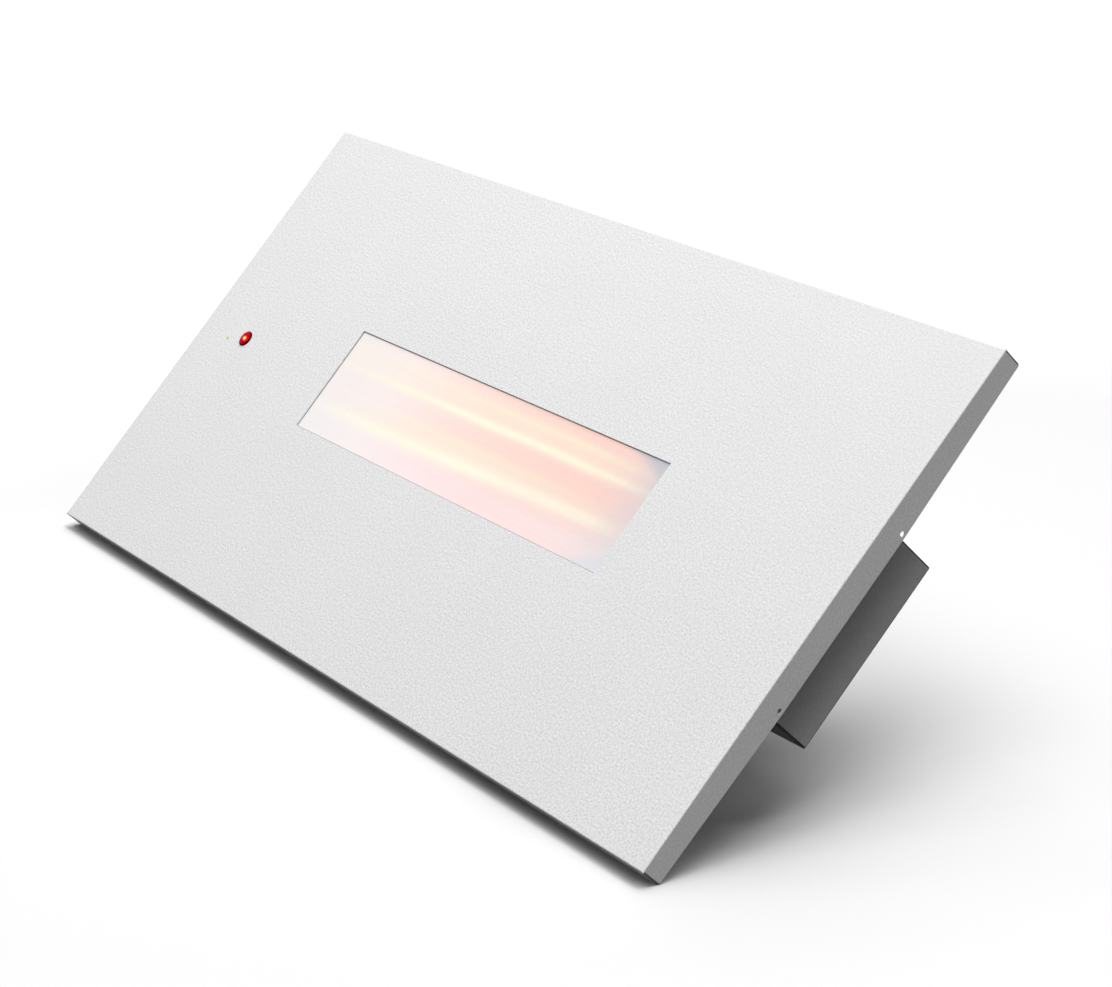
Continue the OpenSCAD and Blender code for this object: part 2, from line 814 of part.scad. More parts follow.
// Hot chamber

module heat_shield() color([0.66, 0.66, 0.67]) difference() {
    union() {
        extrude_x(2*bulkhead_x) {
            translate([-shield_half_h, shield_y]) square([2*shield_half_h, shield_t]);
            for (s = [-1, 1]) {
                translate([s*(shield_half_h - shield_t/2) - shield_t/2, reflector_back])
                    square([shield_t, shield_back - reflector_back]);
                translate([s*(shield_half_h - shield_lip/2) - shield_lip/2, reflector_back])
                    square([shield_lip, shield_t]);
            }
        }
        for (end = [-1, 1])
            for (s = [-1, 1])
                translate([end*(bulkhead_x - shield_t/2), shield_y + (shield_t + fold)/2, s*tab_w])
                    cube([shield_t, shield_t + fold, tab_w], center = true);
    }
    tab_rivet_places() rivet_hole(box_t + shield_t);
    reflector_rivet_places() rivet_hole(reflector_t + shield_t);
    reflector_end_rivet_places() rivet_hole(reflector_t + shield_t);
}

module insulation_mat() color([0.93, 0.91, 0.86])
    block([-bulkhead_x + 10, rear_in - insulation_t, -inner_h/2 + 12],
        [bulkhead_x - 10, rear_in, inner_h/2 - 12]);

// One parabolic trough for each lamp, a ridge between them and a flat rim on both sides
module reflector_sketch() {
    steps = 12;
    for (s = [-1, 1]) {
        translate([s*lamp_z, 0]) polygon(concat(
            [for (i = [-steps : steps]) [i/steps*trough_a, trough_curve(i/steps*trough_a)]],
            [for (i = [steps : -1 : -steps])
                let (z = i/steps*trough_a)
                [z, trough_curve(z)] + reflector_t*trough_normal(z)]
        ));
        translate([s*(lamp_z + trough_a + shield_half_h)/2, reflector_y + reflector_t/2])
            square([shield_half_h - lamp_z - trough_a, reflector_t], center = true);
    }
    translate([-trough_ridge/2, reflector_y]) square([trough_ridge, reflector_t]);
}

module reflector() color([0.86, 0.86, 0.87]) difference() {
    extrude_x(2*reflector_half) reflector_sketch();
    reflector_rivet_places() rivet_hole(reflector_t + shield_t);
}

// End plate of the reflector at the right end; the left one is its mirror image
module reflector_end() {
    side = shield_half_h - shield_lip - 1;
    difference() {
        union() {
            block([reflector_half, reflector_back, -side],
                [reflector_half + reflector_t, shield_y, side]);
            block([reflector_half, shield_y - reflector_t, -side],
                [reflector_half + fold, shield_y, side]);
        }
        for (row = [-1, 1])
            rod([reflector_half - past, lamp_y, row*lamp_z], [1, 0, 0],
                lamp_d + 2*end_lamp_clear, reflector_t + 2*past);
        reflector_end_rivet_places() rivet_hole(reflector_t + shield_t);
    }
}

module reflector_end_left() color([0.8, 0.8, 0.81]) mirror([1, 0, 0]) reflector_end();

module reflector_end_right() color([0.8, 0.8, 0.81]) reflector_end();

// Quartz tube with its pinched ends
module lamp_tube(row) {
    difference() {
        rod([-cap_x0, lamp_y, row*lamp_z], [1, 0, 0], lamp_d, 2*cap_x0);
        rod([-cap_x0 + 2, lamp_y, row*lamp_z], [1, 0, 0], lamp_d - 2*lamp_wall, 2*cap_x0 - 4);
    }
    for (end = [-1, 1])
        at_lamp_end(end, row) translate([-pinch_t/2, -pinch_w/2, cap_x0 - 1])
            cube([pinch_t, pinch_w, pinch_l + 1]);
}

module lamp_tube_upper() color([0.95, 0.9, 0.88, 0.5]) lamp_tube(1);

module lamp_tube_lower() color([0.95, 0.9, 0.88, 0.5]) lamp_tube(-1);

module lamp_filaments() color([1, 0.55, 0.2])
    for (row = [-1, 1]) {
        translate([0, lamp_y, row*lamp_z]) cube([window_l, ribbon_t, ribbon_w], center = true);
        rod([-cap_x0 + 2, lamp_y, row*lamp_z], [1, 0, 0], ribbon_t + 0.4, 2*cap_x0 - 4);
    }

module lamp_caps() color([0.94, 0.93, 0.9])
    at_lamp_ends() difference() {
        translate([0, 0, cap_x0]) cylinder(d = cap_d, h = cap_l);
        translate([-pinch_t/2 - pinch_clear, -pinch_w/2 - pinch_clear, cap_x0 - past])
            cube([pinch_t + 2*pinch_clear, pinch_w + 2*pinch_clear, pinch_l + past + 0.5]);
        translate([0, 0, cap_x1 - cap_recess - contact_t])
            cylinder(d = recess_d, h = cap_recess + contact_t + past);
    }

module lamp_contacts() color([0.78, 0.72, 0.55])
    at_lamp_ends() translate([0, 0, cap_x1 - cap_recess - contact_t])
        cylinder(d = recess_d - 0.1, h = contact_t);

// Places of the two screws of one holder, in the lamp end's own frame
module holder_screw_places() {
    for (s = [-1, 1])
        translate([0, s*holder_screw_y, 0]) children();
}

module lamp_holders() color([0.95, 0.94, 0.9])
    at_lamp_ends() difference() {
        translate([-holder_h/2, -holder_w/2, holder_x0])
            cube([holder_h, holder_w, lid_x0 - holder_x0]);
        translate([0, 0, holder_x0 - past])
            cylinder(d = cap_d + 2*cap_clear, h = cap_seat + cap_clear + past);
        translate([0, 0, web_x0 - past])
            cylinder(d = pin_d + 2*pin_clear, h = web_t + 2*past);
        translate([0, 0, web_x1]) cylinder(d = chamber_d, h = lid_x0 - web_x1 + past);
        holder_screw_places() translate([0, 0, holder_x0 - past])
            cylinder(d = screw_d + 2*hole_clear, h = lid_x0 - holder_x0 + 2*past);
    }

// Lids, each with a boss inside the spring, which stops the pin
module holder_lids() color([0.9, 0.88, 0.84])
    at_lamp_ends() difference() {
        union() {
            translate([-holder_h/2, -holder_w/2, lid_x0]) cube([holder_h, holder_w, lid_t]);
            translate([0, 0, lid_x0 - boss_l]) cylinder(d = boss_d, h = boss_l);
        }
        translate([0, 0, lid_x0 - boss_l - past])
            cylinder(d = lead_d + 2*thread_clear, h = boss_l + lid_t + 2*past);
        holder_screw_places() translate([0, 0, lid_x0 - past])
            cylinder(d = screw_d + 2*hole_clear, h = lid_t + 2*past);
    }

// Contact pin: nose on the lamp's contact, shank in the guide, collar on the spring
module contact_pin(end, row) color([0.8, 0.74, 0.5])
    at_lamp_end(end, row) {
        tip = cap_x1 - cap_recess + contact_gap;
        translate([0, 0, tip]) cylinder(d = nose_d, h = web_x0 - tip);
        translate([0, 0, web_x0]) cylinder(d = pin_d, h = collar_x0 - web_x0);
        translate([0, 0, collar_x0]) cylinder(d = collar_d, h = collar_t);
    }

module contact_pin_upper_left() contact_pin(-1, 1);

module contact_pin_upper_right() contact_pin(1, 1);

module contact_pin_lower_left() contact_pin(-1, -1);

module contact_pin_lower_right() contact_pin(1, -1);

// Helical spring between the collar and the lid
module contact_spring(end, row) color([0.75, 0.75, 0.76])
    at_lamp_end(end, row) translate([0, 0, collar_x1]) coil();

module coil() {
    sides = 6;
    rings = 8*spring_curls;
    slope = spring_pitch/(360*spring_r*PI/180);
    points = [for (k = [0 : rings])
        let (
            a = 360*k/8,
            u = [cos(a), sin(a), 0],
            t = unit([-sin(a), cos(a), slope]),
            v = cross(t, u)
        )
        for (j = [0 : sides - 1])
            coil_point(k/8)
                + spring_wire/2*(cos(360*j/sides)*u + sin(360*j/sides)*v)];
    faces = concat(
        [for (k = [0 : rings - 1]) for (j = [0 : sides - 1])
            [k*sides + j, (k + 1)*sides + j, k*sides + (j + 1) % sides]],
        [for (k = [0 : rings - 1]) for (j = [0 : sides - 1])
            [k*sides + (j + 1) % sides, (k + 1)*sides + j, (k + 1)*sides + (j + 1) % sides]],
        [for (j = [1 : sides - 2]) [0, j, j + 1]],
        [for (j = [1 : sides - 2]) [rings*sides, rings*sides + j + 1, rings*sides + j]]
    );
    polyhedron(points, faces);
}

module contact_spring_upper_left() contact_spring(-1, 1);

module contact_spring_upper_right() contact_spring(1, 1);

module contact_spring_lower_left() contact_spring(-1, -1);

module contact_spring_lower_right() contact_spring(1, -1);

// Wiring

// Both ends: from the lid through the partition to the terminal strip or the link block
module lamp_leads() color([0.75, 0.1, 0.08]) {
    start = bulkhead_out - box_t - lid_t/2;
    upper_z = lamp_z;
    lower_z = strip_z1 + lamp_rise;
    lead([[-start, lamp_y, upper_z], [wire_x(0), lamp_y, upper_z], [wire_x(0), wire_y, upper_z],
        [wire_x(0), wire_y, strip_z1]]);
    lead([[-start, lamp_y, -lamp_z], [left_x - 15, lamp_y, -lamp_z],
        [left_x - 15, lamp_y, lower_z], [wire_x(1), lamp_y, lower_z],
        [wire_x(1), wire_y, lower_z], [wire_x(1), wire_y, strip_z1]]);
    for (row = [-1, 1])
        lead([[start, lamp_y, row*lamp_z], [link_x, lamp_y, row*lamp_z],
            [link_x, link_y + link_d/2, row*lamp_z], [link_x, link_y + link_d/2, row*link_z]]);
}

module link_block() color([0.93, 0.92, 0.88]) difference() {
    block([link_x - link_w/2, link_y, -link_z], [link_x + link_w/2, rear_in, link_z]);
    for (s = [-1, 1])
        rod([link_x + link_w/4, link_y - past, s*link_z/2], [0, 1, 0], link_screw,
            link_d/4 + past);
}

// One wire from the link block to the cut-out, and one from the cut-out to the terminal strip
module return_leads() color([0.1, 0.1, 0.11]) {
    out_x = tag_x - 2*lead_bend;
    near_x = out_x - 2*lead_d;
    far_y = return_y + 2*tag_y;
    high_z = strip_z1 + return_rise;
    lead([[link_x, link_y, 0], [link_x, return_y, 0], [near_x, return_y, 0],
        [near_x, return_y, cutout_z], [tag_x, return_y, cutout_z]]);
    lead([[tag_x, far_y, cutout_z], [out_x, far_y, cutout_z], [out_x, far_y, high_z],
        [wire_x(2), far_y, high_z], [wire_x(2), wire_y, high_z],
        [wire_x(2), wire_y, strip_z1]]);
}

module lead_clips() color([0.9, 0.9, 0.86])
    for (x = spaced(3, 0.7*window_l))
        difference() {
            union() {
                rod([x - 4, return_y, 0], [1, 0, 0], lead_d + 3, 8);
                block([x - 4, shield_back, -3], [x + 4, return_y, 3]);
            }
            rod([x - 4 - past, return_y, 0], [1, 0, 0], lead_d + 2*thread_clear, 8 + 2*past);
        }

module grommets() color([0.12, 0.12, 0.12])
    for (end = [-1, 1])
        aim([end*bulkhead_x, return_y, 0], [end, 0, 0]) difference() {
            union() {
                cylinder(d = grommet_hole - 2*thread_clear, h = box_t);
                for (z = [-grommet_lip, box_t])
                    translate([0, 0, z]) cylinder(d = grommet_hole + 3, h = grommet_lip);
            }
            translate([0, 0, -grommet_lip - past])
                cylinder(d = lead_d + 2*thread_clear, h = box_t + 2*(grommet_lip + past));
        }

module thermal_cutout() color([0.2, 0.18, 0.17]) {
    y = return_y + tag_y;
    difference() {
        union() {
            rod([left_x, y, cutout_z], [-1, 0, 0], cutout_d, cutout_l);
            block([left_x - cutout_foot_t, y - 5, cutout_z - cutout_screw - 3],
                [left_x, y + 5, cutout_z + cutout_screw + 3]);
        }
        for (s = [-1, 1])
            rod([left_x - cutout_foot_t - past, y, cutout_z + s*cutout_screw], [1, 0, 0],
                screw_d + 2*hole_clear, cutout_foot_t + 2*past);
    }
    for (s = [-1, 1])
        block([tag_x, y + s*tag_y - 0.4, cutout_z - 3],
            [left_x - cutout_l + 0.5, y + s*tag_y + 0.4, cutout_z + 3]);
}

// Circuit boards

module control_board() color([0.06, 0.32, 0.16]) difference() {
    block([board_x0, board_y, board_z0], [board_x1, board_back, board_z1]);
    for (p = board_corners)
        rod([p.x, board_y - past, p.y], [0, 1, 0], screw_d + 2*hole_clear, pcb_t + 2*past);
}

// Threaded spacers on the box's back and on the panel
module board_standoffs() color([0.8, 0.78, 0.6]) {
    for (p = board_corners)
        standoff([p.x, board_back, p.y], [0, 1, 0], board_standoff);
    for (p = receiver_corners)
        standoff([p.x, receiver_y, p.y], [0, -1, 0], receiver_y - sheet_t);
}

module standoff(point, dir, l) {
    aim(point, dir) difference() {
        hex_prism(screw_d + 2.5, l);
        translate([0, 0, -past])
            cylinder(d = screw_d + 2*thread_clear, h = screw_bite + 1 + past);
    }
}

module machine_screws() color([0.76, 0.76, 0.74]) {
    for (p = board_corners)
        aim([p.x, board_y, p.y], [0, 1, 0]) pan_screw(screw_d, pcb_t + screw_bite);
    for (p = receiver_corners)
        aim([p.x, receiver_back, p.y], [0, -1, 0]) pan_screw(screw_d, pcb_t + screw_bite);
    at_lamp_ends() holder_screw_places() translate([0, 0, holder_x0])
        pan_screw(screw_d, bulkhead_out + 1 - holder_x0);
    for (s = [-1, 1])
        aim([left_x - cutout_foot_t, return_y + tag_y, cutout_z + s*cutout_screw], [1, 0, 0])
            pan_screw(screw_d, cutout_foot_t + box_t + 1.5);
}

// Two power relays, one for each lamp
module relays() color([0.08, 0.12, 0.2])
    for (i = [0, 1])
        block([board_x1 - 68, board_y - 16, board_z0 + 12 + 24*i],
            [board_x1 - 38, board_y, board_z0 + 28 + 24*i]);

module power_module() color([0.12, 0.12, 0.12])
    block([board_x0 + 10, board_y - 18, module_top - 18], [board_x0 + 44, board_y, module_top]);

// Terminal strip for the mains wires and a plug for the signal lead
module board_terminals() color([0.12, 0.45, 0.2]) {
    difference() {
        block([wire_x(strip_wires - 1) - 5, strip_y, strip_z0],
            [wire_x(0) + 5, board_y, strip_z1]);
        for (i = [0 : strip_wires - 1])
            rod([wire_x(i), strip_y - past, (strip_z0 + strip_z1)/2], [0, 1, 0], 4, 4 + past);
    }
    block([signal_x - socket_w/2, board_y - socket_h, signal_z - socket_l/2],
        [signal_x + socket_w/2, board_y, signal_z + socket_l/2]);
}

module signal_lead() color([0.85, 0.85, 0.83]) {
    mid = (receiver_back + board_y)/2;
    from = [receiver_x - 4, receiver_back + socket_h, signal_z];
    lead([from, [from.x, mid, signal_z], [signal_x, mid, signal_z],
        [signal_x, board_y - socket_h, signal_z]], signal_d);
}

module receiver_board() color([0.06, 0.32, 0.16]) {
    difference() {
        block([receiver_x - receiver_l/2, receiver_y, -receiver_h/2],
            [receiver_x + receiver_l/2, receiver_back, receiver_h/2]);
        for (p = receiver_corners)
            rod([p.x, receiver_y - past, p.y], [0, 1, 0], screw_d + 2*hole_clear,
                pcb_t + 2*past);
    }
    block([receiver_x - 4 - socket_w/2, receiver_back, signal_z - socket_l/2],
        [receiver_x - 4 + socket_w/2, receiver_back + socket_h, signal_z + socket_l/2]);
}

module receiver_sensor() color([0.1, 0.05, 0.08])
    block([lens_x - sensor_w/2, receiver_y - 7, -sensor_w/2],
        [lens_x + sensor_w/2, receiver_y, sensor_w/2]);

// Domed red lens with a hollow threaded shank
module receiver_lens() color([0.8, 0.02, 0.05]) {
    cap_h = lens_rise - lens_rim;
    dome_r = (pow(lens_d/2, 2) + pow(cap_h, 2))/(2*cap_h);
    shank_l = receiver_y - 3;
    aim([lens_x, 0, 0], [0, -1, 0]) difference() {
        union() {
            intersection() {
                translate([0, 0, lens_rise - dome_r]) sphere(dome_r, $fn = 96);
                cylinder(d = lens_d, h = lens_rise);
            }
            translate([0, 0, -shank_l]) cylinder(d = lens_shank_d, h = shank_l + 0.5);
        }
        translate([0, 0, -shank_l - past]) cylinder(d = lens_bore_d, h = shank_l + past + 1.5);
    }
}

module lens_nut() color([0.15, 0.15, 0.15])
    aim([lens_x, sheet_t, 0], [0, 1, 0]) difference() {
        hex_prism(lens_shank_d + 6, lens_nut_t);
        translate([0, 0, -past])
            cylinder(d = lens_shank_d + 2*thread_clear, h = lens_nut_t + 2*past);
    }

module status_led() color([0.55, 0.8, 0.05])
    aim([led_x, 0, -led_drop], [0, -1, 0]) {
        foot_y = sheet_t + led_foot;
        translate([0, 0, led_rise - led_d/2]) sphere(d = led_d);
        translate([0, 0, -foot_y]) cylinder(d = led_d, h = foot_y + led_rise - led_d/2);
        translate([0, 0, -foot_y]) cylinder(d = led_d + 0.9, h = 1);
        for (s = [-1, 1])
            translate([s*0.6, 0, -receiver_y]) cylinder(d = 0.5, h = receiver_y - foot_y);
    }

module led_spacer() color([0.9, 0.9, 0.88])
    aim([led_x, receiver_y, -led_drop], [0, -1, 0]) difference() {
        cylinder(d = led_d + 1.8, h = receiver_y - sheet_t - led_foot);
        translate([0, 0, -past]) cylinder(d = 2.4, h = receiver_y + 2*past);
    }

// Supply

module terminal_block() color([0.92, 0.91, 0.86]) difference() {
    block([wire_x(supply_first + 2) - 7, block_y0, block_z0],
        [wire_x(supply_first) + 7, block_y0 + block_d, block_z0 + block_h]);
    for (i = [0 : 2])
        for (s = [-1, 1])
            rod([wire_x(supply_first + i), block_y0 + block_d + past, block_z0 + block_h/2 + s*9],
                [0, -1, 0], 5, 5 + past);
}

module terminal_bracket() color([0.62, 0.63, 0.64]) {
    x0 = wire_x(supply_first + 2) - 12;
    x1 = wire_x(supply_first) + 12;
    block([x0, block_y0 - bracket_t, block_z0 - 2], [x1, block_y0, inner_h/2]);
    block([x0, block_y0 - bracket_foot, inner_h/2 - bracket_t], [x1, block_y0, inner_h/2]);
}

// Live, neutral and earth, from the terminal block
module supply_leads() {
    bend_z = strip_z1 + supply_rise;
    for (i = [0, 1])
        color(i == 0 ? [0.1, 0.25, 0.6] : [0.4, 0.22, 0.1])
            lead([[wire_x(supply_first + i), block_wire_y, block_z0],
                [wire_x(supply_first + i), block_wire_y, bend_z],
                [wire_x(supply_first + i), wire_y, bend_z],
                [wire_x(supply_first + i), wire_y, strip_z1]]);
    color([0.45, 0.6, 0.15])
        lead([[wire_x(supply_first + 2), block_wire_y, block_z0],
            [wire_x(supply_first + 2), block_wire_y, earth_z],
            [earth_x + 12, block_wire_y, earth_z]]);
}

module earth_stud() color([0.78, 0.68, 0.4]) {
    rod([earth_x, block_wire_y, earth_z], [1, 0, 0], stud_d, 12);
    aim([earth_x + 3, block_wire_y, earth_z], [1, 0, 0]) flange_nut();
}

module cable_gland() color([0.13, 0.13, 0.14])
    aim([-box_l/2, gland_y, gland_z], [-1, 0, 0]) difference() {
        union() {
            hex_prism(gland_d*cos(30), gland_collar);
            translate([0, 0, gland_collar]) cylinder(d = gland_d - 2, h = gland_cap - 4);
            translate([0, 0, gland_collar + gland_cap - 4])
                cylinder(d1 = gland_d - 2, d2 = gland_bore_d + 6, h = 4);
            translate([0, 0, -gland_inside]) cylinder(d = gland_thread_d, h = gland_inside);
        }
        translate([0, 0, -gland_inside - past])
            cylinder(d = gland_bore_d, h = gland_inside + gland_collar + gland_cap + 2*past);
    }

module gland_nut() color([0.15, 0.15, 0.16])
    aim([-box_l/2 + box_t, gland_y, gland_z], [1, 0, 0]) difference() {
        hex_prism(gland_d*cos(30), 5);
        translate([0, 0, -past]) cylinder(d = gland_thread_d + 2*thread_clear, h = 5 + 2*past);
    }

front_panel();
panel_studs();
panel_nuts();
window_gasket();
window_glass();
glass_clips();
housing_body();
housing_end_left();
housing_end_right();
blind_rivets();
access_cover();
cover_screws();
bulkhead_left();
bulkhead_right();
heat_shield();
insulation_mat();
reflector();
reflector_end_left();
reflector_end_right();
lamp_tube_upper();
lamp_tube_lower();
lamp_filaments();
lamp_caps();
lamp_contacts();
lamp_holders();
holder_lids();
contact_pin_upper_left();
contact_pin_upper_right();
contact_pin_lower_left();
contact_pin_lower_right();
contact_spring_upper_left();
contact_spring_upper_right();
contact_spring_lower_left();
contact_spring_lower_right();
machine_screws();
lamp_leads();
link_block();
return_leads();
lead_clips();
grommets();
thermal_cutout();
control_board();
board_standoffs();
relays();
power_module();
board_terminals();
receiver_board();
receiver_sensor();
signal_lead();
receiver_lens();
lens_nut();
status_led();
led_spacer();
terminal_block();
terminal_bracket();
supply_leads();
earth_stud();
cable_gland();
gland_nut();
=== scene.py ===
"""Looks of the recessed infrared heater: materials, lit window, studio floor, lamps and camera.

Metres, in the part's own frame: X along the panel, -Y out of its face, Z across it.
"""

import math

import bpy
from mathutils import Matrix, Vector


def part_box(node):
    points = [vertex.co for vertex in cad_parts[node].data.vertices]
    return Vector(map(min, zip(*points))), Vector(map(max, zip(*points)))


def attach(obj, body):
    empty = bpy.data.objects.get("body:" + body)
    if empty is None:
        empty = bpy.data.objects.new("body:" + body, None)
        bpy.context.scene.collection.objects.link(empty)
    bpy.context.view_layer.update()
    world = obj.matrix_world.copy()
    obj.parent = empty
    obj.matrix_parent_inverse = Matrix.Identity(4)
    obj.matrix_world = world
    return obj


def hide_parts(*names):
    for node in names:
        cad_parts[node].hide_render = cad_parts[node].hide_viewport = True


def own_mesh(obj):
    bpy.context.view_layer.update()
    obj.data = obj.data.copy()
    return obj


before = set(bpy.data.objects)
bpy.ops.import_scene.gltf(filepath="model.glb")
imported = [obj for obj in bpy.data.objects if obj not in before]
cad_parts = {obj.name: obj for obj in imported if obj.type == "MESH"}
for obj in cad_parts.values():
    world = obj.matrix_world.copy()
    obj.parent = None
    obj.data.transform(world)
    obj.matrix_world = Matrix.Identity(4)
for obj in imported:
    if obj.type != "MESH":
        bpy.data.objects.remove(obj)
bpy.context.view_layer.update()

# Sizes that the frame's boxes don't give by themselves
GLASS_LAP = 0.009  # how far the window's pane reaches behind the panel
LIP_WIDTH = 0.014  # the box's lips
LID_THICKNESS = 0.003  # the lamp holders' lids

# Places on the part that the materials' patterns are laid out by
PANEL_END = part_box("front_panel")[1].x
PANEL_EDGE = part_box("front_panel")[1].z
WINDOW_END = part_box("window_glass")[1].x - GLASS_LAP
WINDOW_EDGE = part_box("window_glass")[1].z - GLASS_LAP
BOX_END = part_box("housing_end_right")[1].x - LIP_WIDTH
BOX_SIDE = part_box("housing_body")[1].z - LIP_WIDTH
BOX_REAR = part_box("housing_body")[1].y
LENS_X = sum(corner.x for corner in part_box("receiver_lens"))/2

# The lids' inner faces, on which the contact springs bear
SPRING_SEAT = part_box("holder_lids")[1].x - LID_THICKNESS

BLACK = (0.0, 0.0, 0.0)


# Node helpers

class Graph:
    """A material's node tree with short calls for the nodes used here."""

    def __init__(self, name):
        self.material = bpy.data.materials.new(name)
        self.material.use_nodes = True
        self.nodes = self.material.node_tree.nodes
        self.links = self.material.node_tree.links
        self.nodes.clear()
        self.out = self.nodes.new("ShaderNodeOutputMaterial")
        self.bsdf = self.nodes.new("ShaderNodeBsdfPrincipled")
        self.links.new(self.bsdf.outputs[0], self.out.inputs["Surface"])
        self.coords = self.nodes.new("ShaderNodeTexCoord").outputs["Object"]

    def set(self, **values):
        """Sets uniform values on the shader's own sockets."""
        for key, value in values.items():
            socket = self.bsdf.inputs[key.replace("_", " ").title().replace("Ior", "IOR")]
            socket.default_value = value

    def put(self, socket, value):
        """Links a socket to another node's output, or sets its value."""
        if isinstance(value, bpy.types.NodeSocket):
            self.links.new(value, socket)
        else:
            socket.default_value = value

    def stretch(self, scale, turn=(0, 0, 0)):
        """The object's coordinates, scaled for grain that runs one way."""
        node = self.nodes.new("ShaderNodeMapping")
        node.inputs["Scale"].default_value = scale
        node.inputs["Rotation"].default_value = turn
        self.links.new(self.coords, node.inputs["Vector"])
        return node.outputs[0]

    def noise(self, scale, detail=2.0, rough=0.5, at=None, distort=0.0):
        node = self.nodes.new("ShaderNodeTexNoise")
        node.inputs["Scale"].default_value = scale
        node.inputs["Detail"].default_value = detail
        node.inputs["Roughness"].default_value = rough
        node.inputs["Distortion"].default_value = distort
        self.links.new(at or self.coords, node.inputs["Vector"])
        return node.outputs["Fac"]

    def cells(self, scale, feature="F1", output="Distance", at=None):
        node = self.nodes.new("ShaderNodeTexVoronoi")
        node.feature = feature
        node.inputs["Scale"].default_value = scale
        self.links.new(at or self.coords, node.inputs["Vector"])
        return node.outputs[output]

    def ramp(self, fac, stops):
        """stops: (position, grey or colour), linear values."""
        node = self.nodes.new("ShaderNodeValToRGB")
        elements = node.color_ramp.elements
        while len(elements) < len(stops):
            elements.new(0.5)
        for element, (position, value) in zip(elements, stops):
            element.position = position
            colour = value if hasattr(value, "__len__") else (value,)*3
            element.color = (*colour, 1)
        self.links.new(fac, node.inputs[0])
        return node.outputs[0]

    def math(self, kind, a, b=0.0):
        node = self.nodes.new("ShaderNodeMath")
        node.operation = kind
        self.put(node.inputs[0], a)
        self.put(node.inputs[1], b)
        return node.outputs[0]

    def product(self, first, *others):
        for other in others:
            first = self.math("MULTIPLY", first, other)
        return first

    def absolute(self, value):
        return self.math("ABSOLUTE", value)

    def squares(self, a, b):
        """The sum of two values' squares."""
        return self.math("ADD", self.product(a, a), self.product(b, b))

    def distance(self, a, b):
        return self.math("SQRT", self.squares(a, b))

    def bell(self, square):
        """1 where the square is 0, falling softly as it grows."""
        return self.math("EXPONENT", self.product(square, -1.0))

    def mix(self, fac, a, b, blend="MIX"):
        """a and b: a node's output or a colour."""
        node = self.nodes.new("ShaderNodeMix")
        node.data_type = "RGBA"
        node.blend_type = blend
        self.put(node.inputs["Factor"], fac)
        for socket, value in ((node.inputs[6], a), (node.inputs[7], b)):
            self.put(socket, value if isinstance(value, bpy.types.NodeSocket) else (*value, 1))
        return node.outputs[2]

    def axes(self):
        node = self.nodes.new("ShaderNodeSeparateXYZ")
        self.links.new(self.coords, node.inputs[0])
        return node.outputs

    def span(self, value, low, high, smooth=False):
        """value from low to high becomes 0 to 1."""
        node = self.nodes.new("ShaderNodeMapRange")
        node.interpolation_type = "SMOOTHSTEP" if smooth else "LINEAR"
        self.put(node.inputs["Value"], value)
        node.inputs["From Min"].default_value = low
        node.inputs["From Max"].default_value = high
        return node.outputs[0]

    def bump(self, height, strength, distance):
        node = self.nodes.new("ShaderNodeBump")
        node.inputs["Strength"].default_value = strength
        node.inputs["Distance"].default_value = distance
        self.links.new(height, node.inputs["Height"])
        self.links.new(node.outputs[0], self.bsdf.inputs["Normal"])

    def colour(self, value):
        self.links.new(value, self.bsdf.inputs["Base Color"])

    def roughness(self, value):
        self.links.new(value, self.bsdf.inputs["Roughness"])

    def glow(self, value):
        self.links.new(value, self.bsdf.inputs["Emission Color"])


# The heater's materials

def powder_coat():
    """White powder coat: a fine orange-peel grain, the faintest unevenness, and painted shade
    towards the face's lower edge and in the open corners.
    """
    g = Graph("panel_white")
    grain = g.noise(420, 1.5, 0.5)
    patches = g.noise(7, 2.0)
    x, y, z = g.axes()
    dark, light = (0.68, 0.68, 0.683), (0.925, 0.925, 0.926)
    mean = [(low + high)/2 for low, high in zip(dark, light)]
    base = g.ramp(grain, [(0.3, dark), (0.7, light)])
    # The grain is calmer on the folded edges and towards the face's upper right
    upper_right = g.product(g.span(x, -0.2, 0.6), g.span(z, -0.25, 0.25))
    edges = g.product(g.span(y, 0.001, 0.002), 0.8)
    base = g.mix(g.product(g.math("MAXIMUM", upper_right, edges), 0.5), base, mean)
    # Painted shade: the face darkens a little towards its lower edge, as the light falls off
    painted_falloff = g.ramp(g.span(z, -0.3, 0.3), [(0.0, 0.93), (1.0, 1.0)])
    base = g.mix(g.span(y, 0.002, 0.001), base, painted_falloff, "MULTIPLY")
    # Painted shade: the open corners show as a thin dark line at each end of the folded end
    # edges
    corner = g.product(
        g.span(g.absolute(x), PANEL_END - 0.0021, PANEL_END - 0.0018),
        g.span(g.absolute(z), PANEL_EDGE - 0.0022, PANEL_EDGE - 0.0019),
        g.span(y, 0.0013, 0.0017))
    base = g.mix(corner, base, (0.1, 0.1, 0.1))
    g.colour(g.mix(0.5, base, g.ramp(patches, [(0.35, 0.97), (0.65, 1.0)]), "MULTIPLY"))
    g.roughness(g.ramp(grain, [(0.3, 0.42), (0.7, 0.55)]))
    g.set(Specular_IOR_Level=0.25)
    g.bump(grain, 1.0, 0.0002)
    return g.material


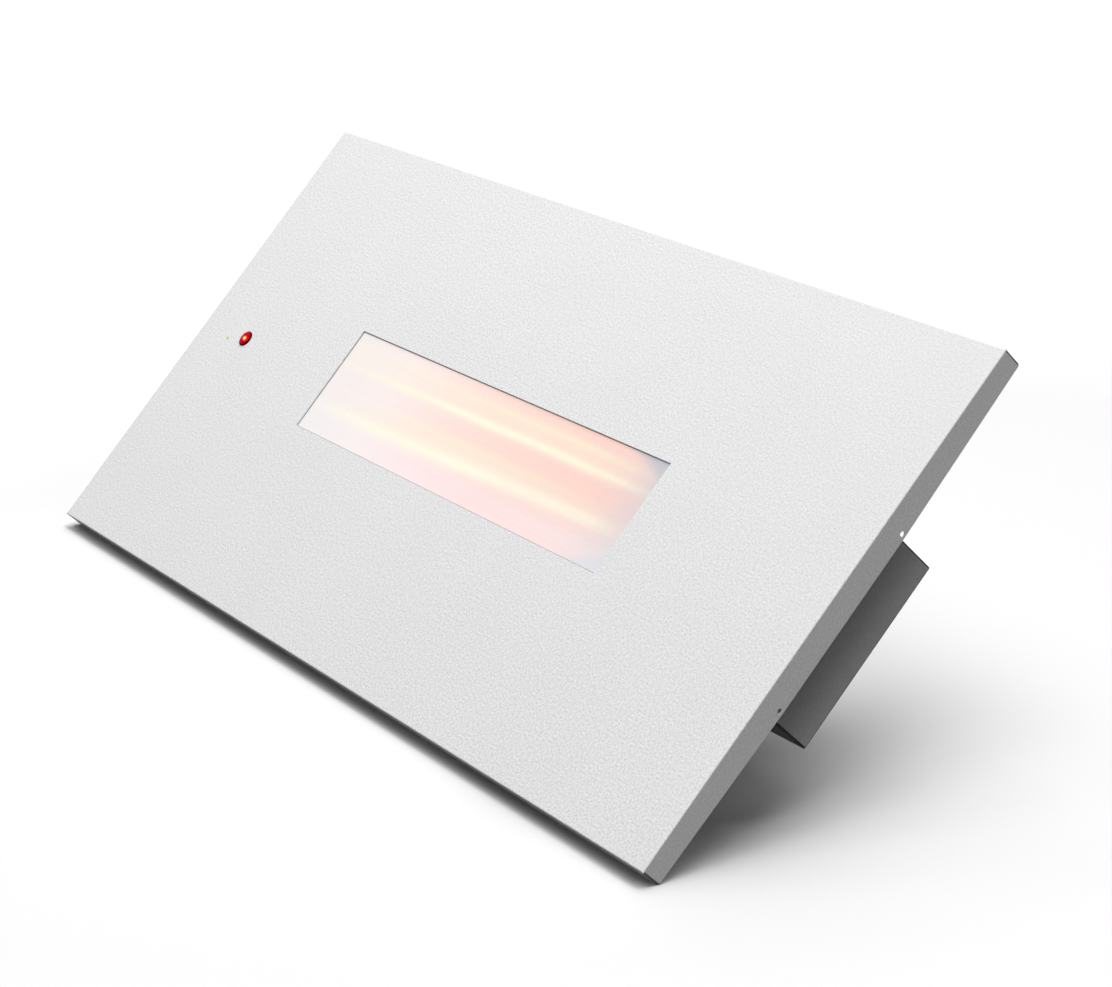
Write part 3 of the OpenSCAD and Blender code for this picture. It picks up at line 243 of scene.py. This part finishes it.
def box_steel():
    """Grey pre-painted sheet with a fine grain, and painted shade towards the panel, on the
    underside and in the grooves along the end plates.
    """
    g = Graph("box_steel")
    skin = g.noise(350, 3.0, 0.6)
    cloud = g.noise(12, 2.0)
    x, y, z = g.axes()
    base = g.ramp(skin, [(0.3, (0.5, 0.5, 0.503)), (0.7, (0.57, 0.57, 0.572))])
    base = g.mix(0.4, base, g.ramp(cloud, [(0.35, 0.9), (0.65, 1.0)]), "MULTIPLY")
    # Painted shade: darker towards the panel, where the panel shades the box
    depth = g.ramp(g.span(y, 0.02, BOX_REAR - 0.002),
                   [(0.0, 0.62), (0.35, 0.78), (0.6, 0.92), (1.0, 1.05)])
    base = g.mix(1.0, base, depth, "MULTIPLY")
    # Painted shade: the underside is darkened to its deepest shade
    underside_shade = g.product(g.span(z, 0.00125 - BOX_SIDE, 0.00055 - BOX_SIDE),
                          g.span(y, 0.005, 0.03))
    base = g.mix(underside_shade, base, (0.105, 0.105, 0.105), "MULTIPLY")
    # Painted shade in the grooves along the end plates' edges
    end = g.span(g.absolute(x), BOX_END - 0.0028, BOX_END - 0.0022)
    side = g.span(g.absolute(z), BOX_SIDE - 0.00235, BOX_SIDE - 0.00175)
    rear = g.span(y, BOX_REAR - 0.0019, BOX_REAR - 0.0014)
    groove_shade = g.product(end, g.math("MAXIMUM", side, rear), 0.92)
    g.colour(g.mix(groove_shade, base, BLACK))
    g.set(Specular_IOR_Level=0.12)
    g.roughness(g.ramp(skin, [(0.3, 0.45), (0.7, 0.6)]))
    g.bump(skin, 0.15, 0.0001)
    return g.material


def zinc_sheet(name, dark, light, metallic, spangle, blotch):
    """Zinc-coated sheet: cool grey crystals of a few millimetres and a rolling grain."""
    g = Graph(name)
    crystals = g.cells(spangle, output="Color")
    warp = g.noise(spangle*0.7, 3.0, 0.6)
    roll = g.noise(60, 3.0, 0.6, g.stretch((0.3, 6, 6)))
    base = g.ramp(warp, [(0.3, dark), (0.7, light)])
    base = g.mix(blotch, base, g.ramp(crystals, [(0.0, 0.35), (1.0, 1.0)]), "MULTIPLY")
    g.colour(g.mix(blotch, base, g.ramp(roll, [(0.3, 0.75), (0.7, 1.0)]), "MULTIPLY"))
    g.set(Metallic=metallic)
    g.roughness(g.ramp(crystals, [(0.0, 0.42), (1.0, 0.6)]))
    g.bump(roll, 0.12, 0.0001)
    return g.material


def turned_metal(name, dark, light, rough, grain, stretch=(1, 1, 1)):
    """Machined or drawn metal: fine directional grain over a bright base."""
    g = Graph(name)
    lines = g.noise(grain, 4.0, 0.65, g.stretch(stretch))
    stain = g.noise(70, 2.0)
    base = g.ramp(lines, [(0.25, dark), (0.75, light)])
    g.colour(g.mix(0.3, base, g.ramp(stain, [(0.35, 0.7), (0.65, 1.0)]), "MULTIPLY"))
    g.set(Metallic=1.0)
    g.roughness(g.ramp(lines, [(0.2, rough - 0.07), (0.8, rough + 0.1)]))
    g.bump(lines, 0.15, 0.00005)
    return g.material


def ceramic(name, dark, light, speck):
    """Glazed or dry ceramic: pale body with small specks and pores."""
    g = Graph(name)
    body = g.noise(130, 3.0, 0.6)
    pores = g.cells(speck)
    base = g.ramp(body, [(0.3, dark), (0.7, light)])
    g.colour(g.mix(0.5, base, g.ramp(pores, [(0.06, 0.5), (0.16, 1.0)]), "MULTIPLY"))
    g.roughness(g.ramp(body, [(0.3, 0.42), (0.7, 0.62)]))
    g.bump(pores, 0.2, 0.0001)
    return g.material


def fibre():
    """Ceramic fibre blanket: matted fibres with soft tufts."""
    g = Graph("ceramic_fibre")
    strands = g.noise(260, 6.0, 0.75, g.stretch((0.5, 1.4, 2.5), (0.3, 0.2, 0.5)), 1.5)
    tufts = g.noise(28, 3.0)
    base = g.ramp(strands, [(0.3, (0.6, 0.57, 0.5)), (0.7, (0.88, 0.86, 0.8))])
    g.colour(g.mix(0.4, base, g.ramp(tufts, [(0.3, 0.78), (0.7, 1.0)]), "MULTIPLY"))
    g.set(Roughness=0.95)
    g.bump(strands, 0.8, 0.0012)
    return g.material


def moulded(name, dark, light, rough, texture=700):
    """Moulded plastic or rubber: fine spark-eroded texture and slight mottling."""
    g = Graph(name)
    skin = g.noise(texture, 2.0, 0.6)
    flow = g.noise(40, 3.0, 0.5)
    base = g.ramp(flow, [(0.3, dark), (0.7, light)])
    g.colour(g.mix(0.35, base, g.ramp(skin, [(0.3, 0.72), (0.7, 1.0)]), "MULTIPLY"))
    g.roughness(g.ramp(skin, [(0.25, rough - 0.08), (0.75, rough + 0.1)]))
    g.bump(skin, 0.25, 0.00008)
    return g.material


def supply_wire():
    """The supply wires' coverings by place: green-yellow outermost, then brown, then blue."""
    g = Graph("supply_wire")
    x, y, z = g.axes()
    earth_to_live, live_to_neutral = -0.4815, -0.4715  # where one wire's covering ends along X
    step = 0.0002
    stripe = g.ramp(g.math("FRACT", g.product(g.math("ADD", y, z), 160)),
                    [(0.45, (0.05, 0.3, 0.03)), (0.55, (0.75, 0.6, 0.02))])
    blue = (0.01, 0.06, 0.32)
    brown = (0.12, 0.045, 0.02)
    live = g.mix(g.span(x, live_to_neutral, live_to_neutral + step), brown, blue)
    base = g.mix(g.span(x, earth_to_live, earth_to_live + step), stripe, live)
    skin = g.noise(500, 2.0)
    g.colour(g.mix(0.3, base, g.ramp(skin, [(0.3, 0.75), (0.7, 1.0)]), "MULTIPLY"))
    g.set(Roughness=0.45)
    g.bump(skin, 0.1, 0.00005)
    return g.material


def circuit_board():
    """Green solder mask over copper tracks, with pale rings at the pads."""
    g = Graph("board_green")
    grid = g.stretch((1, 0.0, 1))
    tracks = g.cells(110, "DISTANCE_TO_EDGE", at=grid)
    pads = g.cells(190, at=grid)
    base = g.ramp(tracks, [(0.05, (0.012, 0.1, 0.035)), (0.09, (0.02, 0.2, 0.07))])
    metal = g.ramp(pads, [(0.14, 1.0), (0.18, 0.0)])
    g.colour(g.mix(metal, base, (0.62, 0.6, 0.52)))
    g.set(Roughness=0.32)
    g.bump(tracks, 0.3, 0.0001)
    return g.material


def quartz():
    """Clear quartz tube, faintly streaked along its length."""
    g = Graph("quartz")
    draw = g.noise(240, 3.0, 0.5, g.stretch((0.06, 1, 1)))
    g.colour(g.ramp(draw, [(0.3, (0.9, 0.88, 0.86)), (0.7, (0.99, 0.98, 0.97))]))
    g.set(Transmission_weight=0.9, IOR=1.46)
    g.roughness(g.ramp(draw, [(0.3, 0.04), (0.7, 0.14)]))
    return g.material


def glowing_ribbon():
    """Carbon ribbon at working heat: orange with darker woven bands."""
    g = Graph("glowing_carbon")
    weave = g.noise(900, 2.0, 0.6, g.stretch((1, 0.3, 0.3)))
    g.colour(g.ramp(weave, [(0.3, (0.08, 0.03, 0.02)), (0.7, (0.3, 0.1, 0.04))]))
    g.set(Roughness=0.8, Emission_strength=3.0)
    g.glow(g.ramp(weave, [(0.25, (0.9, 0.18, 0.03)), (0.75, (1.0, 0.5, 0.16))]))
    return g.material


def lens_red():
    """Glossy moulded red dome over the receiver, with painted shade round its rim and a painted
    highlight.
    """
    g = Graph("lens_red")
    x, _, z = g.axes()
    from_middle = g.math("SUBTRACT", x, LENS_X)
    flow = g.noise(170, 2.0)
    # Painted shade: the dome darkens towards its rim
    rim_shade = g.span(g.distance(from_middle, z), 0.0084, 0.0094)
    base = g.ramp(rim_shade, [(0.0, (0.25, 0.0, 0.002)), (1.0, (0.02, 0.0, 0.0))])
    g.colour(g.mix(0.2, base, g.ramp(flow, [(0.3, 0.8), (0.7, 1.0)]), "MULTIPLY"))
    g.set(Roughness=0.2, Specular_IOR_Level=0.015, Emission_strength=1.0)
    # Painted highlight: a white core, an orange ring and a red one glow in the dome
    highlight_x, highlight_z = 0.0031, -0.0008
    from_highlight = g.distance(g.math("SUBTRACT", from_middle, highlight_x),
                           g.math("SUBTRACT", z, highlight_z))
    glow = g.ramp(g.span(from_highlight, 0.0, 0.01), [
        (0.0, (1.3, 1.2, 1.0)), (0.14, (1.2, 1.0, 0.6)), (0.2, (1.0, 0.36, 0.03)),
        (0.3, (0.75, 0.05, 0.004)), (0.42, (0.45, 0.0, 0.002)), (0.6, (0.27, 0.0, 0.014)),
        (0.85, (0.26, 0.0, 0.001))])
    g.glow(g.mix(rim_shade, glow, BLACK))
    g.bump(flow, 0.03, 0.0001)
    return g.material


def led_green():
    """Lit yellow-green light: a bright core in a clear body."""
    g = Graph("led_green")
    core = g.noise(900, 1.0)
    g.colour(g.ramp(core, [(0.3, (0.12, 0.19, 0.0)), (0.7, (0.16, 0.25, 0.0))]))
    g.set(Roughness=0.3, Specular_IOR_Level=0.02, Emission_strength=1.0)
    g.glow(g.ramp(core, [(0.3, (0.3, 0.47, 0.0)), (0.7, (0.36, 0.56, 0.0))]))
    return g.material


def window_glass():
    """Frosted pane with the light of two lamps behind it painted on as a glow: warm bands along
    X that cool towards the right end, where the rounded end of the reflector shows."""
    g = Graph("window_glass")
    x, _, z = g.axes()
    wave = g.noise(7, 2.0, 0.5, g.stretch((0.6, 0, 1)))
    height = g.math("ADD", z, g.product(g.math("SUBTRACT", wave, 0.5), 0.008))
    along = g.span(x, -WINDOW_END, WINDOW_END)

    # The warm field: above, it deepens to salmon towards the right; below, it stays pink
    upper = g.ramp(along, [
        (0.0, (0.93, 0.87, 0.86)), (0.2, (0.98, 0.87, 0.845)), (0.35, (1.0, 0.81, 0.76)),
        (0.55, (1.0, 0.77, 0.69)), (0.85, (1.0, 0.7, 0.63)), (1.0, (0.85, 0.67, 0.65))])
    lower = g.ramp(along, [
        (0.0, (0.9, 0.88, 0.88)), (0.2, (0.97, 0.88, 0.88)), (0.4, (1.0, 0.83, 0.83)),
        (0.6, (1.0, 0.79, 0.78)), (0.85, (0.98, 0.79, 0.77)), (1.0, (0.85, 0.77, 0.78))])
    lit = g.mix(g.span(height, -0.018, -0.05, True), upper, lower)

    # Streaks of light along the lamps: height at the left and right ends, half width, colour,
    # and strength along X
    cream = (1.0, 0.98, 0.77)
    pale_cream = (1.0, 0.99, 0.81)
    amber = (1.0, 0.92, 0.68)
    rose = (1.0, 0.68, 0.6)
    for left, right, half_width, colour, strength in (
            (0.06, 0.07, 0.008, rose, [(0.3, 0.0), (0.6, 0.4), (0.85, 0.9), (1.0, 0.3)]),
            (0.006, 0.011, 0.013, rose, [(0.3, 0.0), (0.6, 0.25), (0.85, 0.55), (1.0, 0.1)]),
            (0.0485, 0.0495, 0.005, amber, [(0.1, 0.12), (0.5, 0.42), (0.8, 0.58), (1.0, 0.1)]),
            (0.039, 0.038, 0.012, amber, [(0.1, 0.2), (0.5, 0.32), (0.85, 0.3), (1.0, 0.1)]),
            (0.024, 0.0305, 0.0052, cream,
             [(0.02, 0.15), (0.25, 0.7), (0.5, 1.0), (0.8, 0.85), (1.0, 0.3)]),
            (-0.009, -0.003, 0.006, amber,
             [(0.15, 0.05), (0.35, 0.4), (0.55, 0.42), (0.85, 0.2), (1.0, 0.0)]),
            (-0.02, -0.014, 0.008, amber,
             [(0.1, 0.05), (0.35, 0.32), (0.6, 0.34), (0.85, 0.15), (1.0, 0.0)]),
            (-0.033, -0.02, 0.0085, pale_cream,
             [(0.02, 0.2), (0.25, 0.75), (0.5, 0.95), (0.65, 0.75), (0.9, 0.65), (1.0, 0.2)])):
        centre = g.math("ADD", left, g.product(along, right - left))
        offset = g.math("DIVIDE", g.math("SUBTRACT", height, centre), half_width)
        bell = g.bell(g.product(offset, offset))
        lit = g.mix(g.product(bell, g.ramp(along, strength)), lit, colour)

    # Past the rounded ends of the two troughs the painted glow is cool grey
    trough_z, trough_half, trough_end, round_length = 0.025, 0.04, 0.2, 0.088
    side = g.math("DIVIDE", g.math("SUBTRACT", g.absolute(height), trough_z), trough_half)
    end = g.math("DIVIDE", g.math("MAXIMUM", g.math("SUBTRACT", x, trough_end), 0.0),
                 round_length)
    past_end = g.product(g.span(g.distance(end, side), 0.98, 1.32, True),
                         g.span(x, 0.19, 0.24, True))
    past_end = g.math("MAXIMUM", past_end, g.product(g.span(x, 0.25, 0.3), 0.5))
    cool = g.ramp(g.span(z, -WINDOW_EDGE, WINDOW_EDGE), [
        (0.0, (0.75, 0.77, 0.82)), (0.45, (0.76, 0.7, 0.72)), (1.0, (0.59, 0.59, 0.64))])
    lit = g.mix(past_end, lit, cool)

    # Fine lines of light along the lamps
    lines = g.noise(55, 3.0, 0.6, g.stretch((0.06, 0, 5)))
    lit = g.mix(1.0, lit, g.ramp(lines, [(0.25, 0.965), (0.75, 1.0)]), "MULTIPLY")

    # What the studio lamps add on the frosted face is taken off the glow
    frost = g.noise(700, 2.0, 0.6)
    g.colour(g.ramp(frost, [(0.3, (0.2, 0.195, 0.195)), (0.7, (0.24, 0.235, 0.235))]))
    g.glow(g.mix(1.0, lit, (0.235, 0.23, 0.23), "SUBTRACT"))
    g.set(Emission_strength=1.0, Roughness=0.4, IOR=1.3)
    g.bump(frost, 0.05, 0.00005)
    return g.material


def slot_name(material):
    """A material's name without the suffix that Blender adds to a name in use."""
    return material.name.split(".")[0]


made = {slot_name(material): material for material in (
    powder_coat(),
    box_steel(),
    zinc_sheet("galvanised_steel", (0.4, 0.41, 0.43), (0.62, 0.63, 0.65), 0.8, 90, 0.25),
    turned_metal("zinc_steel", (0.5, 0.5, 0.48), (0.75, 0.75, 0.72), 0.32, 420),
    turned_metal("spring_steel", (0.42, 0.42, 0.42), (0.68, 0.68, 0.68), 0.28, 600),
    turned_metal("rivet_aluminium", (0.62, 0.62, 0.63), (0.85, 0.85, 0.86), 0.35, 380),
    turned_metal("bright_aluminium", (0.78, 0.78, 0.79), (0.93, 0.93, 0.94), 0.14, 320,
                 (0.05, 1, 1)),
    window_glass(),
    quartz(),
    glowing_ribbon(),
    ceramic("steatite", (0.7, 0.67, 0.6), (0.86, 0.84, 0.79), 420),
    fibre(),
    turned_metal("contact_brass", (0.6, 0.45, 0.18), (0.82, 0.66, 0.32), 0.25, 420),
    moulded("gasket_rubber", (0.3, 0.3, 0.305), (0.4, 0.4, 0.405), 0.75),
    moulded("red_silicone", (0.42, 0.015, 0.012), (0.6, 0.025, 0.02), 0.45),
    moulded("black_silicone", (0.01, 0.01, 0.011), (0.022, 0.022, 0.024), 0.45),
    supply_wire(),
    moulded("black_plastic", (0.012, 0.012, 0.013), (0.026, 0.026, 0.028), 0.5),
    moulded("white_plastic", (0.74, 0.73, 0.69), (0.84, 0.83, 0.8), 0.45),
    moulded("relay_blue", (0.006, 0.03, 0.16), (0.012, 0.05, 0.24), 0.35),
    moulded("terminal_green", (0.01, 0.16, 0.04), (0.02, 0.25, 0.07), 0.4),
    circuit_board(),
    moulded("sensor_dark", (0.012, 0.004, 0.008), (0.03, 0.01, 0.02), 0.2),
    lens_red(),
    led_green(),
)}
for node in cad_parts.values():
    for holder in node.material_slots:
        holder.material = made[slot_name(holder.material)]

# Each contact spring is swapped for a copy on a mesh of its own, attached to the heater
for end, lid_x in (("left", -SPRING_SEAT), ("right", SPRING_SEAT)):
    for row in ("upper", "lower"):
        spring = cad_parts[f"contact_spring_{row}_{end}"]
        coil = bpy.data.objects.new(f"spring_coil_{row}_{end}", spring.data.copy())
        bpy.context.scene.collection.objects.link(coil)
        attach(coil, "heater")
        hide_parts(spring.name)
        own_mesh(coil)


# Floor, lamps and camera

# The heater leans back, so the paper under it is tilted in the part's frame
up = Vector((0, -0.669, 0.743)).normalized()
across = Vector((1, 0, 0))
back = up.cross(across)
floor_height = -0.2384  # along up, at the panel's lower folded edge


def seen_rays(tree):
    """1 for rays straight from the camera or through gloss and glass."""
    path = tree.nodes.new("ShaderNodeLightPath")
    total = path.outputs["Is Camera Ray"]
    for name in ("Is Glossy Ray", "Is Transmission Ray"):
        add = tree.nodes.new("ShaderNodeMath")
        add.operation = "ADD"
        add.use_clamp = True
        tree.links.new(total, add.inputs[0])
        tree.links.new(path.outputs[name], add.inputs[1])
        total = add.outputs[0]
    return total


def paper_floor():
    """White paper, seen from above only; it throws little light back under the panel."""
    mesh = bpy.data.meshes.new("floor_sheet")
    half = 9.0
    corners = [up*floor_height + across*side*half + back*end*half
               for side, end in ((-1, -1), (1, -1), (1, 1), (-1, 1))]
    mesh.from_pydata([tuple(corner) for corner in corners], [], [(0, 1, 2, 3)])
    floor = bpy.data.objects.new("floor_sheet", mesh)
    bpy.context.scene.collection.objects.link(floor)

    g = Graph("paper")
    fibres = g.noise(800, 3.0, 0.6)
    x, y, z = g.axes()
    # Brighter far from the heater, where the softbox falls off
    bright = g.mix(1.0, g.ramp(fibres, [(0.3, 0.88), (0.7, 0.9)]),
                   g.ramp(g.span(g.distance(x, z), 0.8, 1.8), [(0.0, 0.775), (1.0, 1.0)]),
                   "MULTIPLY")
    # Painted shadow, a little darker in the depth of the cast shadow beside the box and along
    # the panel's foot: place and half width across, place and half width towards the back,
    # share lost
    depth = g.math("ADD", g.product(y, back.y), g.product(z, back.z))
    under_panel = g.span(g.absolute(x), PANEL_END + 0.0005, PANEL_END - 0.0225, True)
    for x_at, x_half, depth_at, depth_half, loss in (
            (0.38, 0.1, 0.071, 0.2, 0.55), (0.0, 1.5, -0.1916, 0.008, 0.55)):
        offset_x = g.math("DIVIDE", g.math("SUBTRACT", x, x_at), x_half)
        offset_depth = g.math("DIVIDE", g.math("SUBTRACT", depth, depth_at), depth_half)
        bell = g.bell(g.squares(offset_x, offset_depth))
        bright = g.mix(g.product(bell, under_panel, loss), bright, BLACK)
    g.colour(g.mix(seen_rays(g.material.node_tree), (0.05, 0.05, 0.05), bright))
    g.set(Roughness=1.0, Specular_IOR_Level=0.0)

    # Clear from below and to the lamps' rays, so that the fill lamps reach the heater
    clear = g.nodes.new("ShaderNodeBsdfTransparent")
    below = g.nodes.new("ShaderNodeNewGeometry").outputs["Backfacing"]
    lamp_ray = g.nodes.new("ShaderNodeLightPath").outputs["Is Shadow Ray"]
    sided = g.nodes.new("ShaderNodeMixShader")
    g.links.new(g.math("MAXIMUM", below, lamp_ray), sided.inputs[0])
    g.links.new(g.bsdf.outputs[0], sided.inputs[1])
    g.links.new(clear.outputs[0], sided.inputs[2])
    g.links.new(sided.outputs[0], g.out.inputs["Surface"])
    mesh.materials.append(g.material)


def studio_world():
    """White to the eye and in gloss, but nearly dark as a light."""
    world = bpy.data.worlds.new("studio")
    bpy.context.scene.world = world
    world.use_nodes = True
    tree = world.node_tree
    tree.nodes.clear()
    seen = seen_rays(tree)
    mix = tree.nodes.new("ShaderNodeMix")
    mix.data_type = "RGBA"
    tree.links.new(seen, mix.inputs["Factor"])
    mix.inputs[6].default_value = (0.03, 0.03, 0.031, 1)
    mix.inputs[7].default_value = (1, 1, 1, 1)
    backdrop = tree.nodes.new("ShaderNodeBackground")
    tree.links.new(mix.outputs[2], backdrop.inputs["Color"])
    out = tree.nodes.new("ShaderNodeOutputWorld")
    tree.links.new(backdrop.outputs[0], out.inputs["Surface"])


def lamp(name, kind, towards, power):
    """A lamp that shines from the direction given; an area lamp still has to be placed."""
    data = bpy.data.lights.new(name, kind)
    data.energy = power
    thing = bpy.data.objects.new(name, data)
    bpy.context.scene.collection.objects.link(thing)
    thing.matrix_world = towards.to_track_quat("Z", "Y").to_matrix().to_4x4()
    return thing


def sun(name, towards, power, spread):
    """A far soft lamp; spread: how wide it looks from the heater, in degrees."""
    lamp(name, "SUN", towards, power).data.angle = math.radians(spread)


def softbox(name, place, aim, size, power):
    """A square area lamp at a place, aimed at a point."""
    thing = lamp(name, "AREA", place - aim, power)
    thing.data.size = size
    thing.location = place
    thing.visible_camera = False


paper_floor()
studio_world()
# A bank of soft lamps over the floor: lean to the right, lean to the back, strength
for number, (lean_right, lean_back, strength) in enumerate([
        (10, 10, 1.62), (20, -30, 0.96), (0, -20, 0.79), (-20, 30, 0.69)], start=1):
    towards = (up + across*math.tan(math.radians(lean_right))
               + back*math.tan(math.radians(lean_back)))
    sun(f"bank_lamp_{number}", towards, strength, 30)
sun("side_lamp", Vector((0.95, -0.2, 0.35)), 0.19, 40)
# Fill light for the sides that the photograph doesn't show
sun("rear_lamp", Vector((-0.2, 1.0, 0.3)), 0.42, 20)
sun("low_lamp", Vector((0.0, -0.1, -1.0)), 0.2, 20)
sun("left_lamp", Vector((-0.95, 0.15, 0.12)), 0.8, 20)
# A large softbox above and in front
softbox("key_lamp", Vector((-0.1, -1.6, 2.2)), Vector((0, 0, 0)), 1.2, 20)

# The camera that fits the photograph's edges
camera_data = bpy.data.cameras.new("photo_camera")
camera_data.lens = 92.5
camera_data.sensor_width = 36
camera_data.shift_x = 0.08
camera_data.shift_y = 0.09
camera_data.clip_end = 60
camera = bpy.data.objects.new("photo_camera", camera_data)
bpy.context.scene.collection.objects.link(camera)
right = Vector((0.5492, 0.6054, 0.576)).normalized()
top = Vector((-0.2966, -0.5032, 0.8117))
top = (top - top.dot(right)*right).normalized()
turn = Matrix((right, top, right.cross(top))).transposed()
camera.matrix_world = Matrix.Translation((2.4697, -1.8318, -0.4349)) @ turn.to_4x4()
bpy.context.scene.camera = camera

bpy.context.scene.view_settings.view_transform = "Standard"
